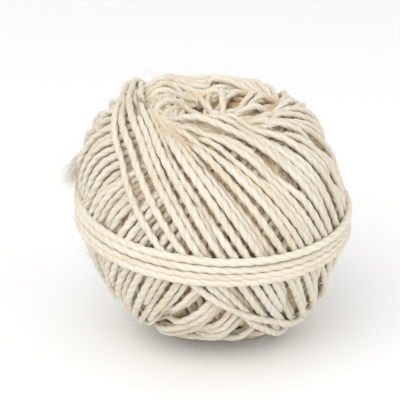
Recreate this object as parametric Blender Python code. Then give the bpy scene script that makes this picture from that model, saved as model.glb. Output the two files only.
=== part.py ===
"""A ball of string: the wound form of one long string, as one closed solid.

The ball is wound by machine round a spindle. Each turn is a ring about the ball's middle, and the next
turn starts a little further round, so the turns cross in two families and leave a sunk eye at the top,
where the spindle was. The last few turns are drawn round the waist as a belt. The turns are gathered
here into broad bundles, and a younger bundle lies over the older ones that it crosses.
"""
import math

import bmesh
import bpy
import numpy as np
from mathutils import Matrix

# The ball, in metres: its width over the belt, its middle to a pole, its flat spot and its low flanks
BALL_DIAMETER = 0.0800
POLE_RADIUS = 0.0398
FLAT_RADIUS = 0.0115
LOW_FULLNESS = 0.0008

# The shoulder, fullest where the youngest turns cross: its direction, its reach round the ball, its rise
SHOULDER_TOWARDS = (-0.74, 0.08, 0.66)
SHOULDER_REACH = math.radians(36.0)
SHOULDER_RISE = 0.0036

# The spindle leans forward, to a side given as an angle from the front (-Y) towards the right (+X)
SPINDLE_LEAN = math.radians(8.0)
SPINDLE_SIDE = math.radians(-20.0)

# The belt round the waist: turns side by side, proud of the winding, off level and lowest at the front
BELT_TURNS = 4
BELT_PITCH = 0.0023
BELT_RISE = 0.0013
BELT_EDGE = 0.0030
BELT_HEIGHT = 0.0015
BELT_LEAN = math.radians(6.1)
BELT_HIGH_SIDE = math.radians(-140.0)

# The main winding: bundles of turns, each a ring that leans steeply and starts further round
BUNDLES = 22
BUNDLE_HALF_WIDTH = 0.0056
BUNDLE_RISE = 0.0019
AGE_RISE = 0.0012
UNDER_DEPTH = 0.0016
MEAN_LEAN = math.radians(57.0)
LEAN_SWING = math.radians(12.0)
STEEPEST_SIDE = math.radians(-20.0)
YOUNGEST_SIDE = math.radians(-97.0)

# The eye at the top, sunk round the spindle, wider from left to right than from front to back
EYE_HALF_WIDTH = 0.0155
EYE_HALF_DEPTH = 0.0120
EYE_SINK = 0.0095

# The mesh: meridians round the ball and rows from pole to pole
MERIDIANS = 96
ROWS = 50

STRING_COLOUR = (0.78, 0.71, 0.58, 1.0)


def clear_scene():
    """Take every object out of the scene."""
    for old in list(bpy.data.objects):
        bpy.data.objects.remove(old, do_unlink=True)


def spindle_turn():
    """Rotation that leans the upright axis to the spindle's."""
    level_axis = (math.cos(SPINDLE_SIDE), math.sin(SPINDLE_SIDE), 0.0)
    return np.array(Matrix.Rotation(SPINDLE_LEAN, 3, level_axis))


def ring_normal(lean, side):
    """Axis of a ring about the middle that leans by lean and is highest towards side."""
    outward = np.array([math.sin(side), -math.cos(side), 0.0])
    return math.cos(lean) * np.array([0.0, 0.0, 1.0]) - math.sin(lean) * outward


def base_radius(directions):
    """Spheroid, one over the root of (level / waist radius)^2 + (upright / pole radius)^2, and its fullness.

    The low fullness is greatest halfway down the lower half, as 4 * (level * upright)^2. The shoulder
    adds its rise times (1 - share^4)^2, where share is the angle from its direction over its reach.
    """
    waist_radius = BALL_DIAMETER / 2 - BELT_RISE
    upright = directions[:, 2]
    level = np.sqrt(1.0 - upright ** 2)
    spheroid = 1.0 / np.sqrt((level / waist_radius) ** 2 + (upright / POLE_RADIUS) ** 2)
    low = LOW_FULLNESS * 4.0 * (level * upright) ** 2 * (upright < 0.0)
    towards = np.array(SHOULDER_TOWARDS) / np.linalg.norm(SHOULDER_TOWARDS)
    share = np.clip(np.arccos(np.clip(directions @ towards, -1.0, 1.0)) / SHOULDER_REACH, 0.0, 1.0)
    return spheroid + low + SHOULDER_RISE * (1.0 - share ** 4) ** 2


def bundle_relief(directions, radius):
    """Highest of the bundles over each point, rounded on top and lower with age, or the winding under them."""
    relief = np.full(len(directions), -UNDER_DEPTH)
    for number in range(BUNDLES):
        side = YOUNGEST_SIDE + 2 * math.pi * number / BUNDLES
        lean = MEAN_LEAN + LEAN_SWING * math.cos(side - STEEPEST_SIDE)
        normal = spindle_turn() @ ring_normal(lean, side)
        distance = radius * np.arcsin(directions @ normal)
        across = np.clip(np.abs(distance) / BUNDLE_HALF_WIDTH, 0.0, 1.0)
        age = AGE_RISE * number / BUNDLES
        relief = np.maximum(relief, BUNDLE_RISE * (np.sqrt(1.0 - across ** 2) - 1.0) - age)
    return relief


def belt_cover(directions, radius):
    """How far the belt covers a point: 1 over its turns, falling to 0 as a half cosine past its edges."""
    above_middle = radius * np.arcsin(directions @ ring_normal(BELT_LEAN, BELT_HIGH_SIDE))
    distance = np.abs(above_middle - BELT_HEIGHT)
    flat_half_width = (BELT_TURNS - 1) * BELT_PITCH / 2
    fall = np.clip((distance - flat_half_width) / BELT_EDGE, 0.0, 1.0)
    return (1.0 + np.cos(math.pi * fall)) / 2


def eye_sink(points):
    """Depth of the eye: the full sink times (1 - distance^2)^2, distance measured in the eye's half sizes."""
    eye = spindle_turn() @ np.array([0.0, 0.0, POLE_RADIUS])
    across = (points[:, 0] - eye[0]) / EYE_HALF_WIDTH
    along = (points[:, 1] - eye[1]) / EYE_HALF_DEPTH
    inside = np.clip(1.0 - across ** 2 - along ** 2, 0.0, 1.0) * (points[:, 2] > 0.0)
    return EYE_SINK * inside ** 2


def wound_form(directions):
    """Points of the ball's surface along the given unit directions from its middle."""
    radius = base_radius(directions)
    relief = bundle_relief(directions, radius)
    belt = belt_cover(directions, radius)
    relief = relief * (1.0 - belt) + BELT_RISE * belt
    points = directions * (radius + relief)[:, None]
    points[:, 2] -= eye_sink(points)
    flat_height = -math.sqrt((POLE_RADIUS - UNDER_DEPTH) ** 2 - FLAT_RADIUS ** 2)
    points[:, 2] = np.maximum(points[:, 2], flat_height)
    middle = (points.max(axis=0) + points.min(axis=0)) / 2
    return points - np.array([middle[0], middle[1], flat_height])


def string_material():
    """Undyed plant fibre: matt and cream."""
    material = bpy.data.materials.new("undyed_string")
    material.use_nodes = True
    shader = material.node_tree.nodes["Principled BSDF"]
    shader.inputs["Base Color"].default_value = STRING_COLOUR
    shader.inputs["Roughness"].default_value = 0.9
    shader.inputs["Metallic"].default_value = 0.0
    return material


def make_ball():
    """One ball: a sphere's mesh, each of its points moved out or in to the wound form."""
    shape = bmesh.new()
    bmesh.ops.create_uvsphere(shape, u_segments=MERIDIANS, v_segments=ROWS, radius=1.0)
    directions = np.array([point.co.normalized() for point in shape.verts])
    for point, place in zip(shape.verts, wound_form(directions)):
        point.co = place
    bmesh.ops.triangulate(shape, faces=shape.faces, quad_method="SHORT_EDGE")
    mesh = bpy.data.meshes.new("string_ball")
    shape.to_mesh(mesh)
    shape.free()
    mesh.shade_smooth()
    mesh.materials.append(string_material())
    ball = bpy.data.objects.new("string_ball", mesh)
    bpy.context.scene.collection.objects.link(ball)
    return ball


clear_scene()
make_ball()
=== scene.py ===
import math

import bpy
import numpy as np
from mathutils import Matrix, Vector


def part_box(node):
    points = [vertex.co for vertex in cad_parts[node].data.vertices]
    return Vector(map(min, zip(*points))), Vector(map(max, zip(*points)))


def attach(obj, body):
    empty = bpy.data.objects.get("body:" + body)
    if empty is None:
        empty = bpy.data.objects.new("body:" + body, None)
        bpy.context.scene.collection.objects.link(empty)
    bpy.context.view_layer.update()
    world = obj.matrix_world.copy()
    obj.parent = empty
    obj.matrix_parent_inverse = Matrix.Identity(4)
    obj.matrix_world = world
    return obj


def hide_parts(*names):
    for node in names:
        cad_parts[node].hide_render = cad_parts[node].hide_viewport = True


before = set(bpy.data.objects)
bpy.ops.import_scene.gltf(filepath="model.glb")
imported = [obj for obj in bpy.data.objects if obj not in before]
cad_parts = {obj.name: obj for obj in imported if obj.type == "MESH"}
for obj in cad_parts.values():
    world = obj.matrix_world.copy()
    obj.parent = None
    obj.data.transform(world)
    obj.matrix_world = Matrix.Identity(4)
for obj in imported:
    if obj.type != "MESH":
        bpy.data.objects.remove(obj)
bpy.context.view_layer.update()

# ---------------------------------------------------------------------------------------------------
# The winding: one long two-ply string of undyed plant fibre, wound by machine round a spindle.
# Each turn is a ring about the ball's middle, and the next one starts a little further round, so the
# turns cross in two families. The last turn laid lies on top, so depths are worked out from it inwards.
# ---------------------------------------------------------------------------------------------------

ball_low, ball_high = (np.array(corner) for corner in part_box("string_ball"))
ball_radius = 0.5 * (ball_high[0] - ball_low[0])
ball_middle = np.array([0.0, 0.0, 0.911 * ball_radius])
string_radius = ball_radius / 37
winding_radius = ball_radius - 1.1 * string_radius
top_radius = 0.965 * ball_radius
bottom_radius = 0.935 * ball_radius
low_fullness = 0.4 * string_radius
# Where turns pile up, or lie a little sunk: direction, reach in degrees and rise in string radii.
swellings = [((-0.72, 0.12, 0.69), 39.0, 4.2), ((-0.46, 0.29, 0.84), 13.0, 1.1),
             ((0.55, 0.31, 0.78), 28.0, 1.5), ((0.62, -0.30, -0.72), 26.0, 1.7),
             ((-0.87, -0.19, -0.46), 30.0, -0.9), ((0.0, -0.38, -0.92), 19.0, -1.3)]
spindle_lean = math.radians(8.0)
spindle_side = math.radians(-20.0)
spindle = np.array([math.sin(spindle_lean) * math.sin(spindle_side),
                    -math.sin(spindle_lean) * math.cos(spindle_side), math.cos(spindle_lean)])
eye_half_width = 0.39 * ball_radius
eye_half_depth = 0.31 * ball_radius
eye_sink = 9.0 * string_radius


def unit(vectors):
    """Each vector divided by its own length."""
    return vectors / np.linalg.norm(vectors, axis=-1, keepdims=True)


def outer_radius(directions):
    """Radius of the ball's outside towards each direction, from its middle.

    One over the root of (level / waist radius)^2 + (upright / top or bottom radius)^2, fuller halfway
    down the lower half by 4 (level * upright)^2. Each swelling rises by (1 - angle^4)^2 of its own
    height, the angle being a share of its reach. The eye sinks by (1 - distance^2)^1.5 of its depth.
    """
    upright = directions[..., 2]
    level = np.sqrt(np.clip(1.0 - upright ** 2, 0.0, 1.0))
    pole_radius = np.where(upright > 0.0, top_radius, bottom_radius)
    radius = 1.0 / np.sqrt((level / winding_radius) ** 2 + (upright / pole_radius) ** 2)
    radius = radius + low_fullness * 4.0 * (level * upright) ** 2 * (upright < 0.0)
    for side, reach, rise in swellings:
        angle = np.arccos(np.clip(directions @ unit(np.array(side)), -1.0, 1.0)) / math.radians(reach)
        radius = radius + rise * string_radius * np.clip(1.0 - angle ** 4, 0.0, 1.0) ** 2
    from_eye = directions[..., :2] * radius[..., None] - spindle[:2] * ball_radius
    from_eye = np.hypot(from_eye[..., 0] / eye_half_width, from_eye[..., 1] / eye_half_depth)
    inside = np.clip(1.0 - from_eye ** 2, 0.0, 1.0) * (upright > 0.0)
    return radius - eye_sink * inside ** 1.5


turns = 144
rings_per_turn = 250
side_step = 2 * math.pi / 95
last_side = math.radians(-98.5)
random = np.random.default_rng(7)


def slow_noise(count, spacing):
    """A smooth random line, about -1 to 1: random values every so many samples, joined by half cosines."""
    knots = random.uniform(-1.0, 1.0, int(count / spacing) + 3)
    place = np.arange(count) / spacing
    first = place.astype(int)
    blend = (1.0 - np.cos(math.pi * (place - first))) / 2
    return knots[first] * (1.0 - blend) + knots[first + 1] * blend


def layered_noise(count, layers):
    """The sum of smooth random lines, each with its own size and its own spacing in samples."""
    return sum(size * slow_noise(count, spacing) for size, spacing in layers)


def smoothed(values, count, mode):
    """Each value averaged with its neighbours, count in all, under weights that are a raised cosine."""
    weights = np.hanning(count) / np.hanning(count).sum()
    return np.convolve(values, weights, mode=mode)


def ring_directions(turn, side, lean, wander):
    """Directions along rings that lean by lean and are highest towards side, pushed sideways by wander.

    With angle t round the ring: cos t times the highest point, plus sin t times the level tangent.
    """
    outward = np.stack([np.sin(side), -np.cos(side), np.zeros_like(side)], axis=-1)
    level = np.stack([np.cos(side), np.sin(side), np.zeros_like(side)], axis=-1)
    up = np.array([0.0, 0.0, 1.0])
    highest = np.cos(lean)[:, None] * outward + np.sin(lean)[:, None] * up
    normal = np.cos(lean)[:, None] * up - np.sin(lean)[:, None] * outward
    angle = 2 * math.pi * turn
    return unit(np.cos(angle)[:, None] * highest + np.sin(angle)[:, None] * level + wander[:, None] * normal)


def lean_with_spindle(directions):
    """Directions turned with the spindle about the level axis across its lean, by Rodrigues' formula."""
    axis = np.array([math.cos(spindle_side), math.sin(spindle_side), 0.0])
    along = directions @ axis
    return (directions * math.cos(spindle_lean) + np.cross(axis, directions) * math.sin(spindle_lean)
            + along[:, None] * axis * (1.0 - math.cos(spindle_lean)))


def cell_of(directions, cells):
    """Number of the square cell that each direction points through, on a cube round the ball."""
    axis = np.abs(directions).argmax(axis=-1)[..., None]
    major = np.take_along_axis(directions, axis, -1)[..., 0]
    across = np.take_along_axis(directions, (axis + 1) % 3, -1)[..., 0] / np.abs(major)
    along = np.take_along_axis(directions, (axis + 2) % 3, -1)[..., 0] / np.abs(major)
    column = ((across + 1.0) / 2 * (cells - 1)).astype(int)
    row = ((along + 1.0) / 2 * (cells - 1)).astype(int)
    return ((2 * axis[..., 0] + (major > 0)) * cells + column) * cells + row


def spacing_of_turns(directions, least=0.13, most=2.0, smoothing=21):
    """Mean sideways distance from each turn to the turns before and after it, in string thicknesses.

    It is kept between least and most and smoothed over so many rings.
    """
    sideways = np.cross(directions, unit(np.gradient(directions, axis=0)))
    step = directions[rings_per_turn:] - directions[:-rings_per_turn]
    pitch = np.abs(np.sum(step * sideways[rings_per_turn:], axis=-1)) * ball_radius / (2 * string_radius)
    before = np.concatenate([pitch[:rings_per_turn], pitch])
    after = np.concatenate([pitch, pitch[-rings_per_turn:]])
    return smoothed(np.clip((before + after) / 2, least, most), smoothing, mode="same")


def share_under(spacing, shown_spacing=0.85, softness=0.12, digits=8):
    """How far each turn slips under its neighbours where they crowd, from 0, on top, to 1, under them.

    The turns that stay on top are an even choice: the binary digits of the turn's number, mirrored
    about the point, are below the spacing over the spacing that the turns on top keep.
    """
    number = np.arange(len(spacing)) // rings_per_turn
    places = np.arange(digits)
    rank = (((number[:, None] >> places) & 1) / 2.0 ** (places + 1)).sum(axis=1)
    under = np.clip((rank - spacing / shown_spacing) / softness + 1.0, 0.0, 1.0)
    return under ** 2 * (3.0 - 2.0 * under)


def laid_depths(directions, per_turn, widths, under, squash=0.8, slope=0.5):
    """Depth of the string's middle below its outermost place, in metres, turn by turn inwards.

    Two strings whose middles are a distance s apart sideways lie squash * root(d^2 - s^2) apart in
    depth, with d the string's thickness. A taut string dips by no more than slope along its length,
    and one that has slipped under its neighbours covers nothing below it.
    """
    cells = 256
    places_across = 27
    places_ahead = 4
    share_ahead = 0.4
    smoothing = 13
    deepest = 3.6 * string_radius
    thickness = 2 * string_radius
    covered = np.zeros(6 * cells * cells)
    forward = unit(np.gradient(directions, axis=0))
    sideways = np.cross(directions, forward)
    reach = np.linspace(-1.0, 1.0, places_across) * thickness
    ahead = np.linspace(-share_ahead, share_ahead, places_ahead) * 2 * math.pi * ball_radius / per_turn
    apart = squash * np.sqrt(np.clip(thickness ** 2 - reach ** 2, 0.0, None))
    travelled = np.cumsum(slope * np.linalg.norm(np.gradient(directions, axis=0), axis=-1) * ball_radius)
    depths = np.zeros(len(directions))
    for start in range(0, len(directions), per_turn):
        part = slice(start, min(start + per_turn, len(directions)))
        middle = directions[part, None, :] * ball_radius + ahead[None, :, None] * forward[part, None, :]
        raw = np.minimum(covered[cell_of(middle, cells)].max(axis=1), deepest)
        raw[0] = max(raw[0], depths[start - 1] if start else 0.0)
        way = travelled[part]
        from_behind = np.maximum.accumulate(raw + way) - way
        from_ahead = np.maximum.accumulate((raw - way)[::-1])[::-1] + way
        depth = np.pad(np.maximum(from_behind, from_ahead), smoothing // 2, mode="edge")
        depth = smoothed(depth, smoothing, mode="valid")
        depths[part] = depth
        spread = widths[part, None, None, None] * reach[None, None, :, None] * sideways[part, None, None, :]
        spread = middle[:, :, None, :] + spread
        below = np.broadcast_to(depth[:, None, None] + apart[None, None, :], spread.shape[:-1])
        on_show = under[part] < 0.5
        np.maximum.at(covered, cell_of(spread, cells)[on_show].ravel(), below[on_show].ravel())
    return depths


def evened(directions, depths, cells=16):
    """Depths less a smooth surface through the shallowest of them, so that the ball keeps its outside.

    The surface is the least-squares sum of the fifth and sixth powers of the direction's parts,
    through the shallowest depth in each cell.
    """
    cell = cell_of(directions, cells)
    order = np.lexsort((depths, cell))
    shallowest = order[np.unique(cell[order], return_index=True)[1]]
    powers = np.array([(a, b, total - a - b) for total in (5, 6)
                       for a in range(total + 1) for b in range(total + 1 - a)])
    terms = np.prod(directions[:, None, :] ** powers[None], axis=-1)
    weights = np.linalg.lstsq(terms[shallowest], depths[shallowest], rcond=None)[0]
    return depths - terms @ weights


def string_path(directions, depths, floor_gap=1.05 * string_radius):
    """Middle line of the string: so far in from the ball's outside, and a gap off the floor at least."""
    radius = outer_radius(directions) - string_radius - depths
    path = ball_middle + directions * radius[:, None]
    path[:, 2] = np.maximum(path[:, 2], ball_low[2] + floor_gap)
    return path


ply_lay = 7.0 * string_radius


def two_ply_rings(path, directions, radius, widths):
    """Rings of points round a path, as two plies twisted about each other.

    Each ply is a circle off the string's middle, so the outline at angle a is c |cos a| plus
    root(p^2 - c^2 sin^2 a). The outline turns once in each lay of length, and it is pressed flatter
    against the ball. Returns the points, the length along the string and the angles round it.
    """
    angles = np.radians([-90.0, -58.0, -20.0, 20.0, 58.0, 90.0, 122.0, 160.0, 200.0, 238.0])
    ply_offset = 0.19
    ply_radius = 0.83
    pressed_height = 0.92
    past_middle = np.sqrt(ply_radius ** 2 - (ply_offset * np.sin(angles)) ** 2)
    outline = ply_offset * np.abs(np.cos(angles)) + past_middle
    forward = unit(np.gradient(path, axis=0))
    sideways = unit(np.cross(directions, forward))
    outward = np.cross(forward, sideways)
    lengths = np.concatenate([[0.0], np.cumsum(np.linalg.norm(np.diff(path, axis=0), axis=1))])
    turned = angles[None, :] + 2 * math.pi * lengths[:, None] / ply_lay
    across = ((widths * radius)[:, None] * outline * np.cos(turned))[..., None] * sideways[:, None, :]
    height = (pressed_height * radius[:, None] * outline * np.sin(turned))[..., None] * outward[:, None, :]
    return path[:, None, :] + across + height, lengths, angles


def surface_piece(name, points, corners, starts, uv, material):
    """A smooth piece from its points, the points at its faces' corners and where each face starts.

    The UV map gives each corner's place along the string or fibre, and its turn round it.
    """
    mesh = bpy.data.meshes.new(name)
    mesh.vertices.add(points.size // 3)
    mesh.vertices.foreach_set("co", points.astype(np.float32).ravel())
    mesh.loops.add(len(corners))
    mesh.loops.foreach_set("vertex_index", corners.astype(np.int32))
    mesh.polygons.add(len(starts))
    mesh.polygons.foreach_set("loop_start", starts.astype(np.int32))
    mesh.polygons.foreach_set("use_smooth", np.ones(len(starts), dtype=bool))
    mesh.update(calc_edges=True)
    layer = mesh.uv_layers.new(name="along_and_round")
    layer.data.foreach_set("uv", uv.astype(np.float32).ravel())
    mesh.validate()
    mesh.materials.append(material)
    piece = bpy.data.objects.new(name, mesh)
    bpy.context.scene.collection.objects.link(piece)
    return piece


def tube_piece(name, rings, lengths, angles, depths, material):
    """A closed tube from rings of points: a grid of four-sided faces, capped at both ends.

    How deep it lies in the ball, in string radii, is its attribute.
    """
    count, around = rings.shape[:2]
    point = np.arange(count * around).reshape(count, around)
    here, there = point[:-1], point[1:]
    quads = np.stack([here, np.roll(here, -1, axis=1), np.roll(there, -1, axis=1), there], axis=-1)
    quads = quads.reshape(-1, 4)
    corners = np.concatenate([quads.ravel(), point[0][::-1], point[-1]])
    starts = np.concatenate([np.arange(len(quads)) * 4, [len(quads) * 4, len(quads) * 4 + around]])
    turned = (angles - angles[0]) / (2 * math.pi)
    next_turned = np.append(turned[1:], 1.0)
    u = np.stack([lengths[:-1], lengths[:-1], lengths[1:], lengths[1:]], axis=-1)
    v = np.stack([turned, next_turned, next_turned, turned], axis=-1)
    body_uv = np.stack([u[:, None, :].repeat(around, 1), v[None].repeat(count - 1, 0)], axis=-1)
    first_uv = np.stack([np.full(around, lengths[0]), turned[::-1]], axis=-1)
    last_uv = np.stack([np.full(around, lengths[-1]), turned], axis=-1)
    uv = np.concatenate([body_uv.reshape(-1, 2), first_uv, last_uv])
    piece = surface_piece(name, rings, corners, starts, uv, material)
    deep = piece.data.attributes.new("depth_in_ball", "FLOAT", "POINT")
    deep.data.foreach_set("value", np.repeat(depths / string_radius, around).astype(np.float32))
    return piece


def part_of_ball(piece):
    """The piece rides on the ball and stands for its wound form."""
    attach(piece, "root")
    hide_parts("string_ball")


def feed(tree, socket, value):
    """Links a socket's value into another socket, or sets the socket to a plain value."""
    if isinstance(value, bpy.types.NodeSocket):
        tree.links.new(value, socket)
    elif value is not None:
        socket.default_value = value


def math_node(tree, operation, first, second=None):
    """A Math node in a tree, fed by sockets or plain numbers, and its output."""
    node = tree.nodes.new("ShaderNodeMath")
    node.operation = operation
    feed(tree, node.inputs[0], first)
    feed(tree, node.inputs[1], second)
    return node.outputs["Value"]


def clamp_node(tree, value):
    """A value kept between 0 and 1, and its output."""
    node = tree.nodes.new("ShaderNodeClamp")
    tree.links.new(value, node.inputs["Value"])
    return node.outputs["Result"]


def noise_node(tree, vector, scale, detail, roughness=0.5):
    """A noise texture in a tree at a scale per metre of its vector, and its grey output."""
    node = tree.nodes.new("ShaderNodeTexNoise")
    node.inputs["Scale"].default_value = scale
    node.inputs["Detail"].default_value = detail
    node.inputs["Roughness"].default_value = roughness
    tree.links.new(vector, node.inputs["Vector"])
    return node.outputs["Fac"]


def mix_node(tree, share, first, second):
    """A colour mix in a tree by a share from 0, the first, to 1, the second, and its output."""
    node = tree.nodes.new("ShaderNodeMix")
    node.data_type = "RGBA"
    factor, first_colour, second_colour = node.inputs[0], node.inputs[6], node.inputs[7]
    tree.links.new(share, factor)
    feed(tree, first_colour, first)
    feed(tree, second_colour, second)
    return node.outputs[2]


def fibre_group():
    """Plant fibre twisted into two plies: colour, roughness and height from the length and angle along it.

    Fibres run straight along the string, so they are noise drawn out along it, on a circle that turns
    against the plies. The share of straw colour is the streaks times the fibres, plus patches and long
    stretches. The grooves between the plies lie where the sine of the turn round is nought, and they
    take a painted shade. Turns that lie deep in the ball take a darker, warmer painted shade, for the
    shade in the gaps between turns.
    """
    circle_size = 1.1
    drawn_out = 160.0
    middle_fibre = 0.42
    middle_patch = 0.5
    middle_stretch = 0.45
    patch_strength = 1.6
    # Painted shade in the ply grooves: how narrow and how strong it is.
    groove_shade_sharpness = 3.0
    groove_shade_strength = 0.3
    # Painted shade on deep turns: it starts at this depth in string radii and rises by this share per
    # radius.
    shade_from_depth = 1.6
    shade_rise_per_depth = 0.34
    least_roughness = 0.5
    fibre_roughness = 0.3
    fibre_height = 0.6
    ply_height = 0.2
    tree = bpy.data.node_groups.new("twisted_plant_fibre", "ShaderNodeTree")
    for name in ("Pale", "Straw", "Groove_Shade", "Deep_Shade"):
        tree.interface.new_socket(name, in_out="INPUT", socket_type="NodeSocketColor")
    for name in ("Streaks", "Lay"):
        tree.interface.new_socket(name, in_out="INPUT", socket_type="NodeSocketFloat")
    tree.interface.new_socket("Colour", in_out="OUTPUT", socket_type="NodeSocketColor")
    tree.interface.new_socket("Roughness", in_out="OUTPUT", socket_type="NodeSocketFloat")
    tree.interface.new_socket("Height", in_out="OUTPUT", socket_type="NodeSocketFloat")
    given = tree.nodes.new("NodeGroupInput")
    uv = tree.nodes.new("ShaderNodeUVMap")
    uv.uv_map = "along_and_round"
    parts = tree.nodes.new("ShaderNodeSeparateXYZ")
    tree.links.new(uv.outputs["UV"], parts.inputs["Vector"])
    along, round_ = parts.outputs["X"], parts.outputs["Y"]

    lays_along = math_node(tree, "DIVIDE", along, given.outputs["Lay"])
    straight = math_node(tree, "MULTIPLY", math_node(tree, "ADD", round_, lays_along), 2 * math.pi)
    circle = tree.nodes.new("ShaderNodeCombineXYZ")
    for socket, wave in (("X", "COSINE"), ("Y", "SINE")):
        around = math_node(tree, "MULTIPLY", math_node(tree, wave, straight), circle_size)
        feed(tree, circle.inputs[socket], around)
    feed(tree, circle.inputs["Z"], math_node(tree, "MULTIPLY", along, drawn_out))
    fibres = noise_node(tree, circle.outputs["Vector"], scale=1.7, detail=3.0, roughness=0.65)
    line = tree.nodes.new("ShaderNodeCombineXYZ")
    feed(tree, line.inputs["X"], along)
    patches = noise_node(tree, line.outputs["Vector"], scale=45.0, detail=2.0)
    stretches = noise_node(tree, line.outputs["Vector"], scale=7.0, detail=1.0)

    streak = math_node(tree, "SUBTRACT", fibres, middle_fibre)
    streak = math_node(tree, "MULTIPLY", streak, given.outputs["Streaks"])
    patch = math_node(tree, "SUBTRACT", patches, middle_patch)
    patch = math_node(tree, "MULTIPLY", patch, patch_strength)
    stretch = math_node(tree, "SUBTRACT", stretches, middle_stretch)
    straw_share = math_node(tree, "ADD", math_node(tree, "ADD", streak, patch), stretch)
    straw_share = clamp_node(tree, straw_share)
    fibre_colour = mix_node(tree, straw_share, given.outputs["Pale"], given.outputs["Straw"])

    # Painted shade: deeper turns shift towards a darker, warmer colour, for the gaps between turns.
    deep = tree.nodes.new("ShaderNodeAttribute")
    deep.attribute_name = "depth_in_ball"
    deep_shade_share = math_node(tree, "SUBTRACT", deep.outputs["Fac"], shade_from_depth)
    deep_shade_share = math_node(tree, "MULTIPLY", deep_shade_share, shade_rise_per_depth)
    fibre_colour = mix_node(tree, clamp_node(tree, deep_shade_share), fibre_colour, given.outputs["Deep_Shade"])

    # Painted shade: the colour darkens into the grooves between the plies.
    off_groove = math_node(tree, "SINE", math_node(tree, "MULTIPLY", round_, 2 * math.pi))
    off_groove = math_node(tree, "ABSOLUTE", off_groove)
    groove_shade_share = math_node(tree, "SUBTRACT", 1.0, off_groove)
    groove_shade_share = math_node(tree, "POWER", groove_shade_share, groove_shade_sharpness)
    groove_shade_share = math_node(tree, "MULTIPLY", groove_shade_share, groove_shade_strength)
    colour = mix_node(tree, groove_shade_share, fibre_colour, given.outputs["Groove_Shade"])

    roughness = math_node(tree, "ADD", least_roughness, math_node(tree, "MULTIPLY", fibres, fibre_roughness))
    height = math_node(tree, "ADD", math_node(tree, "MULTIPLY", fibres, fibre_height),
                       math_node(tree, "MULTIPLY", off_groove, ply_height))
    ready = tree.nodes.new("NodeGroupOutput")
    tree.links.new(colour, ready.inputs["Colour"])
    tree.links.new(roughness, ready.inputs["Roughness"])
    tree.links.new(height, ready.inputs["Height"])
    return tree


plant_fibre = fibre_group()
# Painted shade: the darker, warmer colour that turns deep in the ball take.
deep_shade_colour = (0.60, 0.40, 0.17, 1.0)
fibre_relief = 0.00035


def string_material(name, pale, straw, groove, streaks):
    """Undyed string: pale and straw plant fibre with a silky sheen, and painted shade in grooves and deep
    turns.
    """
    material = bpy.data.materials.new(name)
    material.use_nodes = True
    tree = material.node_tree
    shader = tree.nodes["Principled BSDF"]
    fibre = tree.nodes.new("ShaderNodeGroup")
    fibre.node_tree = plant_fibre
    fibre.inputs["Pale"].default_value = pale
    fibre.inputs["Straw"].default_value = straw
    fibre.inputs["Groove_Shade"].default_value = groove
    fibre.inputs["Deep_Shade"].default_value = deep_shade_colour
    fibre.inputs["Streaks"].default_value = streaks
    fibre.inputs["Lay"].default_value = ply_lay
    bump = tree.nodes.new("ShaderNodeBump")
    bump.inputs["Strength"].default_value = 0.55
    bump.inputs["Distance"].default_value = fibre_relief
    tree.links.new(fibre.outputs["Colour"], shader.inputs["Base Color"])
    tree.links.new(fibre.outputs["Roughness"], shader.inputs["Roughness"])
    tree.links.new(fibre.outputs["Height"], bump.inputs["Height"])
    tree.links.new(bump.outputs["Normal"], shader.inputs["Normal"])
    shader.inputs["Sheen Weight"].default_value = 0.15
    return material


ring_count = turns * rings_per_turn
turn_number = np.arange(ring_count) / rings_per_turn

# Where each turn is highest, in steps round the ball: the turns lie in loose pairs and stray a little,
# the last one laid swings back from the others, and the innermost spread out to close the ball.
pair_sway = 0.08
pair_phase = 0.3
stray_sway = 0.32
stray_spacing = 1.7 * rings_per_turn
last_swing = 1.3
last_swing_turns = 0.8
innermost_from = 139.5
innermost_spread = 10.0
sway = pair_sway * np.sin(math.pi * turn_number + pair_phase)
sway = sway + stray_sway * slow_noise(ring_count, stray_spacing)
sway -= last_swing * np.exp(-turn_number / last_swing_turns)
spread_out = innermost_spread * np.clip(turn_number - innermost_from, 0.0, None)
turn_side = last_side + side_step * (turn_number + sway + spread_out)

# How steeply each turn leans, in degrees, from the last one laid inwards, with slow and quick sways.
lean_changes = [0, 0.12, 0.2, 0.35, 0.55, 0.8, 1, 2, 3, 5, 9, 13, 19,
                28, 35, 41, 52, 60, 67, 76, 86, 100, 139, 140, 144]
leans = [56, 52, 50, 46, 46, 51, 56, 60, 62, 64, 67, 70, 74,
         71, 67, 62, 50, 50.5, 60, 72, 75, 73, 74, 83, 86]
lean_sways = [(3.5, 1400), (1.3, 300)]
steepest_lean = 89.0
calm_turns = 6.0
calm_share = 0.3
turn_lean = np.interp(turn_number, lean_changes, leans)
turn_lean += np.clip(turn_number / calm_turns, calm_share, 1.0) * layered_noise(ring_count, lean_sways)
turn_lean = np.radians(np.minimum(turn_lean, steepest_lean))

# How far the string wanders sideways, in string radii.
path_wanders = [(0.10, 9), (0.28, 26), (0.5, 90)]
wander = layered_noise(ring_count, path_wanders) * string_radius / ball_radius
turn_directions = lean_with_spindle(ring_directions(turn_number, turn_side, turn_lean, wander))

slip_depth = 1.8 * string_radius
narrowest = 0.72
width_per_spacing = 1.15
turn_spacing = spacing_of_turns(turn_directions)
turn_under = share_under(turn_spacing)
turn_widths = np.clip(width_per_spacing * turn_spacing, narrowest, 1.0)
layer_depths = laid_depths(turn_directions, rings_per_turn, turn_widths, turn_under)
layer_depths = evened(turn_directions, layer_depths + slip_depth * turn_under) - slip_depth * turn_under
turn_depths = layer_depths + slip_depth * turn_under

pale_fibre = (0.87, 0.81, 0.69, 1.0)
straw_fibre = (0.73, 0.61, 0.41, 1.0)
# Painted shade: the colour darkened into the grooves between the plies.
groove_shade_colour = (0.46, 0.34, 0.18, 1.0)
undyed = string_material("undyed_string", pale_fibre, straw_fibre, groove_shade_colour, streaks=1.6)

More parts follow.
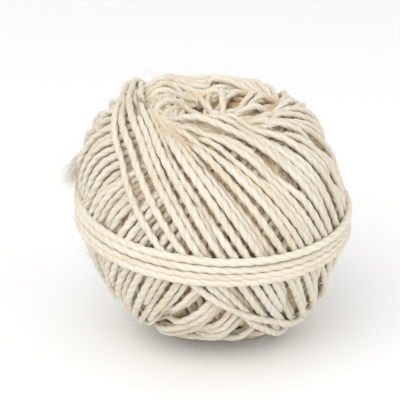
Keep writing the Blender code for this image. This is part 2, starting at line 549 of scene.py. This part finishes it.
turns_per_piece = 36
plump = 1.08
size_changes = [(0.05, 60), (0.04, 14)]
winding_path = string_path(turn_directions, turn_depths)
ring_sizes = string_radius * (plump + layered_noise(ring_count, size_changes))
winding_rings, winding_lengths, ring_angles = two_ply_rings(
    winding_path, turn_directions, ring_sizes, turn_widths)
for first_turn in range(0, turns, turns_per_piece):
    first = first_turn * rings_per_turn
    last = min((first_turn + turns_per_piece) * rings_per_turn + 1, ring_count)
    piece = tube_piece(f"winding_{first_turn // turns_per_piece + 1}", winding_rings[first:last],
                       winding_lengths[first:last], ring_angles, layer_depths[first:last], undyed)
    part_of_ball(piece)

# ---------------------------------------------------------------------------------------------------
# The core: the older turns deep in the ball, which show only through the gaps and in the eye's floor.
# They are one grooved form here, of the same string, all in the painted shade of deep turns.
# ---------------------------------------------------------------------------------------------------

core_depth = 5.6 * string_radius
eye_floor_depth = 5.0 * string_radius
core_turns = 52
core_slant = 0.6
core_groove = 0.7 * string_radius
core_floor_gap = 2.0 * string_radius
core_down = np.radians(np.linspace(1.5, 178.5, 90))
core_round = np.linspace(0.0, 2 * math.pi, 260, endpoint=False)


def core_rings(down, round_):
    """Points of the core, pole to pole: the ball's outside less a depth, and less again under the eye.

    Grooves slant round it, each as deep as one less the size of the sine of half the core's turns
    times the angle round, which grows with the angle down.
    """
    down, round_ = down[:, None], round_[None, :]
    directions = np.stack([np.sin(down) * np.cos(round_), -np.sin(down) * np.sin(round_),
                           np.cos(down) + 0.0 * round_], axis=-1)
    from_eye = np.linalg.norm(directions - spindle, axis=-1) * ball_radius / eye_half_depth
    groove = 1.0 - np.abs(np.sin(core_turns / 2 * (round_ + core_slant * down)))
    depths = core_depth + core_groove * groove + eye_floor_depth * np.clip(1.0 - from_eye ** 2, 0.0, 1.0)
    points = ball_middle + directions * (outer_radius(directions) - depths)[..., None]
    points[..., 2] = np.maximum(points[..., 2], ball_low[2] + core_floor_gap)
    return points


# Painted shade: the core's depth gives it the full deep shade colour all over.
core = tube_piece("core", core_rings(core_down, core_round), core_down * ball_radius, core_round,
                  np.full(len(core_down), core_depth), undyed)
part_of_ball(core)

# ---------------------------------------------------------------------------------------------------
# The belt: the last turns of the same string, drawn tight round the waist over the winding, side by
# side and tilted, so that the ball can't come undone. Both ends dive between the turns beneath.
# ---------------------------------------------------------------------------------------------------

belt_start, belt_end = 0.71, 5.06
belt_rings_per_turn = 330
belt_tilt = math.radians(6.1)
belt_high_side = math.radians(-140.0)
belt_height = 0.9 * string_radius
belt_pitch = 2.05 * string_radius
belt_proud = 1.5 * string_radius
belt_string_radius = 1.12 * string_radius
belt_sways = [(0.2, 60), (0.25, 210)]
belt_tilt_sway = math.radians(0.7)
belt_side_sway = math.radians(9.0)
belt_dip = 0.3
tuck_depth = 4.5 * string_radius
tuck_turns = 0.09

belt_count = int((belt_end - belt_start) * belt_rings_per_turn)
belt_number = np.linspace(belt_start, belt_end, belt_count)
belt_lean = belt_tilt + belt_tilt_sway * slow_noise(belt_count, 300)
belt_side = belt_high_side + belt_side_sway * slow_noise(belt_count, 400)
belt_wander = belt_pitch * (belt_number - (belt_start + belt_end) / 2) + belt_height
belt_wander += string_radius * layered_noise(belt_count, belt_sways)
belt_directions = ring_directions(belt_number, belt_side, belt_lean, belt_wander / ball_radius)
belt_widths = np.ones(belt_count)
belt_depths = belt_dip * laid_depths(belt_directions, belt_rings_per_turn, belt_widths, 0.0 * belt_widths)
from_belt_end = np.minimum(belt_number - belt_start, belt_end - belt_number)
belt_tuck = tuck_depth * np.clip(1.0 - from_belt_end / tuck_turns, 0.0, 1.0) ** 2
belt_path = string_path(belt_directions, belt_depths + belt_tuck - belt_proud)
belt_sizes = np.full(belt_count, belt_string_radius)
belt_rings, belt_lengths, _ = two_ply_rings(belt_path, belt_directions, belt_sizes, belt_widths)
belt = tube_piece("belt", belt_rings, belt_lengths, ring_angles, 0.0 * belt_lengths, undyed)
part_of_ball(belt)

# ---------------------------------------------------------------------------------------------------
# Stray fibres: fine ends of the plant fibre that stand off the string, short ones everywhere and some
# long curled ones, with a soft wisp at the upper left where the string has rubbed.
# ---------------------------------------------------------------------------------------------------

# The groove colour here is painted shade too; the fibres' UV keeps them off the grooves.
stray_fibre = string_material("stray_fibre", pale=(0.95, 0.92, 0.84, 1.0), straw=(0.88, 0.81, 0.66, 1.0),
                              groove=(0.80, 0.70, 0.50, 1.0), streaks=0.5)
fewest_curls = 0.4
most_curls = 1.3
fibre_corners = 3
tip_share = 0.35


def fibre_paths(bases, headings, lengths, points, bend, curl):
    """Paths of fibres: each runs straight along its heading, plus a bend and a curl of its own.

    At share s of its length: length * (s * heading + s^2 * bend + curl * sine and cosine of its curls).
    """
    share = np.linspace(0.0, 1.0, points)[None, :, None]
    bends = random.normal(size=bases.shape)[:, None, :] * bend
    turning = 2 * math.pi * random.uniform(fewest_curls, most_curls, (len(bases), 1, 1)) * share
    first = np.cross(headings, random.normal(size=bases.shape))[:, None, :]
    second = np.cross(headings[:, None, :], first)
    curls = curl * (first * np.sin(turning) + second * (1.0 - np.cos(turning)))
    grown = share * headings[:, None, :] + share ** 2 * bends + curls
    return bases[:, None, :] + lengths[:, None, None] * grown


def fibre_piece(name, paths, radius, material):
    """Thin three-sided tubes along the paths, each narrowing to its tip and closed at both ends.

    Each ring is a triangle across the path, in the plane of two directions square to it. In the UV map
    every point is a step on from the last, halfway between two grooves.
    """
    aslant = np.array([0.31, 0.52, 0.79])
    step_along = 0.001
    off_groove = 0.25
    count, points = paths.shape[:2]
    forward = unit(np.gradient(paths, axis=1))
    sideways = unit(np.cross(forward, aslant))
    outward = np.cross(sideways, forward)
    angles = 2 * math.pi * np.arange(fibre_corners) / fibre_corners
    taper = radius * np.linspace(1.0, tip_share, points)[None, :, None, None]
    rings = paths[:, :, None, :] + taper * (np.cos(angles)[:, None] * sideways[:, :, None, :]
                                            + np.sin(angles)[:, None] * outward[:, :, None, :])
    point = np.arange(count * points * fibre_corners).reshape(count, points, fibre_corners)
    here, there = point[:, :-1], point[:, 1:]
    quads = np.stack([here, there, np.roll(there, -1, axis=2), np.roll(here, -1, axis=2)], axis=-1)
    quads = quads.reshape(-1, 4)
    ends = np.concatenate([point[:, 0], point[:, -1, ::-1]])
    corners = np.concatenate([quads.ravel(), ends.ravel()])
    end_starts = 4 * len(quads) + fibre_corners * np.arange(len(ends))
    starts = np.concatenate([np.arange(len(quads)) * 4, end_starts])
    along = np.repeat(np.arange(count * points) * step_along, fibre_corners)
    uv = np.stack([along[corners], off_groove + 0.0 * corners], axis=-1)
    return surface_piece(name, rings, corners, starts, uv, material)


# Fibres stand on the turns that lie on top, off the underside, and more of them where the string has
# rubbed.
most_under = 0.1
most_depth = 1.5 * string_radius
lowest_upright = -0.8
rubbed_side = unit(np.array([-0.8, -0.1, 0.6]))
even_fuzz = 0.35
least_fuzz = 0.25
string_forward = unit(np.gradient(winding_path, axis=0))
on_top = (turn_under < most_under) & (turn_depths < most_depth) & (turn_directions[:, 2] > lowest_upright)
on_top = np.flatnonzero(on_top)
fuzziness = np.clip(even_fuzz + turn_directions[on_top] @ rubbed_side, least_fuzz, 1.0)
fuzziness = fuzziness / fuzziness.sum()


def standing_off(chosen, upright, along, astray=0.45, base_height=0.85 * string_radius):
    """Base on the string's outer side and heading for each chosen ring.

    The heading is so much outward, so much along the string and a random amount astray.
    """
    headings = upright * turn_directions[chosen] + astray * random.normal(size=(len(chosen), 3))
    headings += along * random.choice([-1.0, 1.0], len(chosen))[:, None] * string_forward[chosen]
    return winding_path[chosen] + base_height * turn_directions[chosen], unit(headings)


def kept_outside(paths, gap, floor_gap=0.1 * string_radius):
    """Paths pushed out from the ball's middle to at least a gap off its outside, and kept off the floor."""
    from_middle = paths - ball_middle
    radius = np.linalg.norm(from_middle, axis=-1, keepdims=True)
    least = outer_radius(from_middle / radius)[..., None] + gap
    kept = ball_middle + from_middle / radius * np.maximum(radius, least)
    kept[..., 2] = np.maximum(kept[..., 2], ball_low[2] + floor_gap)
    return kept


fuzz_count = 2600
fuzz_shortest = 0.0012
fuzz_longest = 0.0034
fuzz_radius = 0.00004
fuzz_gap = -2.0 * string_radius
fuzz_from = random.choice(on_top, fuzz_count, p=fuzziness)
fuzz_bases, fuzz_headings = standing_off(fuzz_from, upright=0.55, along=0.9)
fuzz_lengths = random.uniform(fuzz_shortest, fuzz_longest, fuzz_count)
fuzz_paths = fibre_paths(fuzz_bases, fuzz_headings, fuzz_lengths, points=5, bend=0.25, curl=0.06)
fuzz = fibre_piece("fuzz", kept_outside(fuzz_paths, fuzz_gap), fuzz_radius, stray_fibre)
part_of_ball(fuzz)

long_count = 150
long_shortest = 0.005
long_longest = 0.011
long_radius = 0.00007
long_gap = 0.1 * string_radius
long_from = random.choice(on_top, long_count, p=fuzziness)
long_bases, long_headings = standing_off(long_from, upright=0.35, along=1.0)
long_lengths = random.uniform(long_shortest, long_longest, long_count)
long_paths = fibre_paths(long_bases, long_headings, long_lengths, points=14, bend=0.16, curl=0.10)
long_fibres = fibre_piece("long_fibres", kept_outside(long_paths, long_gap), long_radius, stray_fibre)
part_of_ball(long_fibres)

wisp_count = 320
wisp_shortest = 0.005
wisp_longest = 0.0105
wisp_radius = 0.00006
wisp_gap = -0.7 * string_radius
wisp_base_spread = 0.6 * string_radius
wisp_heading_spread = 0.20
wisp_reach = math.radians(3.5)
wisp_side = unit(np.array([-0.90, 0.05, 0.42]))
wisp_fall = np.array([-0.44, -0.20, -0.88])
near_wisp = on_top[turn_directions[on_top] @ wisp_side > math.cos(wisp_reach)]
wisp_from = random.choice(near_wisp, wisp_count)
wisp_bases = winding_path[wisp_from] + wisp_base_spread * unit(random.normal(size=(wisp_count, 3)))
wisp_headings = unit(wisp_fall + wisp_heading_spread * random.normal(size=(wisp_count, 3)))
wisp_lengths = random.uniform(wisp_shortest, wisp_longest, wisp_count)
wisp_paths = fibre_paths(wisp_bases, wisp_headings, wisp_lengths, points=9, bend=0.12, curl=0.06)
wisp = fibre_piece("wisp", kept_outside(wisp_paths, wisp_gap), wisp_radius, stray_fibre)
part_of_ball(wisp)

# ---------------------------------------------------------------------------------------------------
# The studio: a plain pale floor with a matt finish that carries on past the view, a white world, and
# two broad soft lamps, the stronger one at the upper left. The camera looks down a little on the ball.
# ---------------------------------------------------------------------------------------------------

floor_reach = 3.0
floor_mesh = bpy.data.meshes.new("floor")
floor_mesh.from_pydata([(-floor_reach, -floor_reach, 0), (floor_reach, -floor_reach, 0),
                        (floor_reach, floor_reach, 0), (-floor_reach, floor_reach, 0)], [], [(0, 1, 2, 3)])
floor = bpy.data.objects.new("floor", floor_mesh)
bpy.context.scene.collection.objects.link(floor)
floor_material = bpy.data.materials.new("pale_floor")
floor_material.use_nodes = True
floor_shader = floor_material.node_tree.nodes["Principled BSDF"]
floor_shader.inputs["Base Color"].default_value = (0.94, 0.94, 0.94, 1.0)
floor_shader.inputs["Roughness"].default_value = 0.9
floor_mesh.materials.append(floor_material)

world = bpy.data.worlds.new("studio")
bpy.context.scene.world = world
world.use_nodes = True
world_light = world.node_tree.nodes["Background"]
world_light.inputs["Color"].default_value = (1.0, 1.0, 1.0, 1.0)
world_light.inputs["Strength"].default_value = 0.86
bpy.context.scene.view_settings.view_transform = "Standard"


def area_light(name, place, size, power):
    """A square lamp of a size in metres and a power in watts, aimed at the ball's middle."""
    lamp = bpy.data.lights.new(name, "AREA")
    lamp.size = size
    lamp.energy = power
    light = bpy.data.objects.new(name, lamp)
    bpy.context.scene.collection.objects.link(light)
    light.location = place
    light.rotation_euler = (Vector(ball_middle) - Vector(place)).to_track_quat("-Z", "Y").to_euler()


area_light("key", place=(-0.35, -0.60, 0.75), size=0.9, power=4.2)
area_light("fill", place=(0.7, -0.5, 0.35), size=0.9, power=1.4)

camera_elevation = math.radians(22.0)
camera_distance = 0.45
view_width = 0.1163
sensor_width = 36.0
aim = Vector((0.0, 0.0, 0.924 * ball_radius))
towards_camera = Vector((0.0, -math.cos(camera_elevation), math.sin(camera_elevation)))
camera_data = bpy.data.cameras.new("camera")
camera_data.sensor_width = sensor_width
camera_data.lens = sensor_width * camera_distance / view_width
camera_data.shift_x = -0.0325
camera_data.shift_y = 0.0225
camera = bpy.data.objects.new("camera", camera_data)
bpy.context.scene.collection.objects.link(camera)
camera.location = aim + camera_distance * towards_camera
camera.rotation_euler = (aim - camera.location).to_track_quat("-Z", "Y").to_euler()
bpy.context.scene.camera = camera
